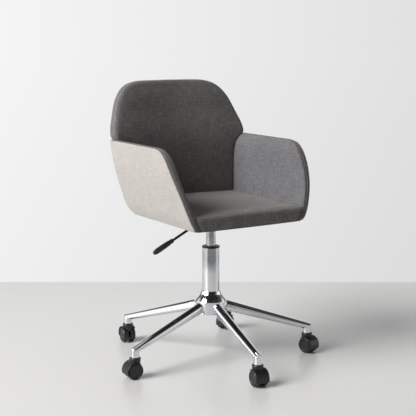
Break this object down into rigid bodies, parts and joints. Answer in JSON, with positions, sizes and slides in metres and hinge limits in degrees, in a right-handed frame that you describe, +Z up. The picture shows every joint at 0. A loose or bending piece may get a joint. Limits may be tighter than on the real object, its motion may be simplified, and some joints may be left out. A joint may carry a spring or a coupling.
{
  "type": "swivel office chair",
  "caption": "Upholstered bucket swivel chair with sloping armrests on a chromed gas lift and a star base with hooded casters.",
  "frame": {"origin": "on the floor, at the centre of the footprint (bounding box); the swivel axis stands 12.5 mm to +X and 17.8 mm to +Y of it, because the casters point different ways", "axes": "+Z up along the swivel axis, the longest extent; the chair faces -Y; +X is the sitter's left"},
  "size_m": [0.5932, 0.5934, 0.7828],
  "materials": {
    "chrome_base": "polished chrome plate",
    "gas_cylinder_chrome": "polished gas cylinder",
    "caster_plastic": "satin black nylon",
    "bush_plastic": "satin black",
    "bright_steel": "zinc-plated steel",
    "bumper_rubber": "matt black",
    "black_steel": "black powder coat",
    "grip_plastic": "satin black with a soft sheen",
    "plywood": "bare birch plywood",
    "seat_board_cover": "plywood board covered in the beige fabric",
    "grey_fabric": "charcoal linen weave",
    "arm_fabric": "charcoal linen weave",
    "beige_fabric": "beige linen weave"
  },
  "bodies": {
    "base": {"base_hub": "chrome_base", "leg_1": "chrome_base", "leg_2": "chrome_base", "leg_3": "chrome_base", "leg_4": "chrome_base", "leg_5": "chrome_base", "column_tube": "chrome_base", "guide_bush": "bush_plastic", "thrust_bearing": "bright_steel", "rubber_bumper": "bumper_rubber"},
    "piston": {"piston_rod": "bright_steel", "retaining_clip": "bright_steel"},
    "seat": {"gas_cylinder": "gas_cylinder_chrome", "mechanism_housing": "black_steel", "mounting_plate": "black_steel", "plate_bolt_1": "bright_steel", "plate_bolt_2": "bright_steel", "plate_bolt_3": "bright_steel", "plate_bolt_4": "bright_steel", "lever_pivot_pin": "bright_steel", "seat_board": "seat_board_cover", "back_board": "plywood", "arm_board_left": "plywood", "arm_board_right": "plywood", "seat_cushion": "grey_fabric", "back_pad": "grey_fabric", "arm_pad_left": "arm_fabric", "arm_pad_right": "arm_fabric", "outer_panel_left": "beige_fabric", "outer_panel_right": "beige_fabric", "outer_panel_back": "beige_fabric"},
    "lever": {"lever_rod": "black_steel", "lever_grip": "grip_plastic"},
    "release": {"release_button": "bright_steel"},
    "caster_1": {"caster_hood_1": "caster_plastic", "caster_stem_1": "bright_steel", "caster_axle_1": "bright_steel"},
    "wheel_left_1": {"wheel_left_1": "caster_plastic"},
    "wheel_right_1": {"wheel_right_1": "caster_plastic"},
    "caster_2": {"caster_hood_2": "caster_plastic", "caster_stem_2": "bright_steel", "caster_axle_2": "bright_steel"},
    "wheel_left_2": {"wheel_left_2": "caster_plastic"},
    "wheel_right_2": {"wheel_right_2": "caster_plastic"},
    "caster_3": {"caster_hood_3": "caster_plastic", "caster_stem_3": "bright_steel", "caster_axle_3": "bright_steel"},
    "wheel_left_3": {"wheel_left_3": "caster_plastic"},
    "wheel_right_3": {"wheel_right_3": "caster_plastic"},
    "caster_4": {"caster_hood_4": "caster_plastic", "caster_stem_4": "bright_steel", "caster_axle_4": "bright_steel"},
    "wheel_left_4": {"wheel_left_4": "caster_plastic"},
    "wheel_right_4": {"wheel_right_4": "caster_plastic"},
    "caster_5": {"caster_hood_5": "caster_plastic", "caster_stem_5": "bright_steel", "caster_axle_5": "bright_steel"},
    "wheel_left_5": {"wheel_left_5": "caster_plastic"},
    "wheel_right_5": {"wheel_right_5": "caster_plastic"}
  },
  "joints": [
    {"name": "seat_swivel", "type": "hinge", "parent": "base", "child": "piston", "pos_m": [0.0125, 0.0178, 0.132], "axis": [0, 0, 1], "continuous": true},
    {"name": "seat_height", "type": "slide", "parent": "piston", "child": "seat", "axis": [0, 0, 1], "range_m": [-0.035, 0.065]},
    {"name": "lever_lift", "type": "hinge", "parent": "seat", "child": "lever", "pos_m": [-0.0195, 0.0178, 0.3983], "axis": [0, 1, 0], "range_deg": [0, 8], "stiffness_Nm_per_rad": 3, "springref_deg": -5.73},
    {"name": "button_press", "type": "slide", "parent": "seat", "child": "release", "axis": [0, 0, -1], "range_m": [0, 0.0045]},
    {"name": "caster_swivel_1", "type": "hinge", "parent": "base", "child": "caster_1", "pos_m": [-0.01806, -0.26354, 0.06], "axis": [0, 0, 1], "continuous": true},
    {"name": "wheel_roll_left_1", "type": "hinge", "parent": "caster_1", "child": "wheel_left_1", "pos_m": [-0.01864, -0.26952, 0.02272], "axis": [0.9954, -0.0958, 0], "continuous": true},
    {"name": "wheel_roll_right_1", "type": "hinge", "parent": "caster_1", "child": "wheel_right_1", "pos_m": [-0.01864, -0.26952, 0.02272], "axis": [0.9954, -0.0958, 0], "continuous": true},
    {"name": "caster_swivel_2", "type": "hinge", "parent": "base", "child": "caster_2", "pos_m": [0.27063, -0.09821, 0.06], "axis": [0, 0, 1], "continuous": true},
    {"name": "wheel_roll_left_2", "type": "hinge", "parent": "caster_2", "child": "wheel_left_2", "pos_m": [0.27197, -0.10406, 0.02272], "axis": [0.9748, 0.2233, 0], "continuous": true},
    {"name": "wheel_roll_right_2", "type": "hinge", "parent": "caster_2", "child": "wheel_right_2", "pos_m": [0.27197, -0.10406, 0.02272], "axis": [0.9748, 0.2233, 0], "continuous": true},
    {"name": "caster_swivel_3", "type": "hinge", "parent": "base", "child": "caster_3", "pos_m": [0.2026, 0.22745, 0.06], "axis": [0, 0, 1], "continuous": true},
    {"name": "wheel_roll_left_3", "type": "hinge", "parent": "caster_3", "child": "wheel_left_3", "pos_m": [0.19707, 0.2251, 0.02272], "axis": [0.3907, -0.9205, 0], "continuous": true},
    {"name": "wheel_roll_right_3", "type": "hinge", "parent": "caster_3", "child": "wheel_right_3", "pos_m": [0.19707, 0.2251, 0.02272], "axis": [0.3907, -0.9205, 0], "continuous": true},
    {"name": "caster_swivel_4", "type": "hinge", "parent": "base", "child": "caster_4", "pos_m": [-0.12814, 0.26338, 0.06], "axis": [0, 0, 1], "continuous": true},
    {"name": "wheel_roll_left_4", "type": "hinge", "parent": "caster_4", "child": "wheel_left_4", "pos_m": [-0.12748, 0.26934, 0.02272], "axis": [-0.994, 0.1097, 0], "continuous": true},
    {"name": "wheel_roll_right_4", "type": "hinge", "parent": "caster_4", "child": "wheel_right_4", "pos_m": [-0.12748, 0.26934, 0.02272], "axis": [-0.994, 0.1097, 0], "continuous": true},
    {"name": "caster_swivel_5", "type": "hinge", "parent": "base", "child": "caster_5", "pos_m": [-0.26452, -0.04007, 0.06], "axis": [0, 0, 1], "continuous": true},
    {"name": "wheel_roll_left_5", "type": "hinge", "parent": "caster_5", "child": "wheel_left_5", "pos_m": [-0.27052, -0.03985, 0.02272], "axis": [-0.0366, -0.9993, 0], "continuous": true},
    {"name": "wheel_roll_right_5", "type": "hinge", "parent": "caster_5", "child": "wheel_right_5", "pos_m": [-0.27052, -0.03985, 0.02272], "axis": [-0.0366, -0.9993, 0], "continuous": true}
  ],
  "couplings": [
    {"joint": "button_press", "follows": "lever_lift", "m_per_rad": 0.032}
  ]
}
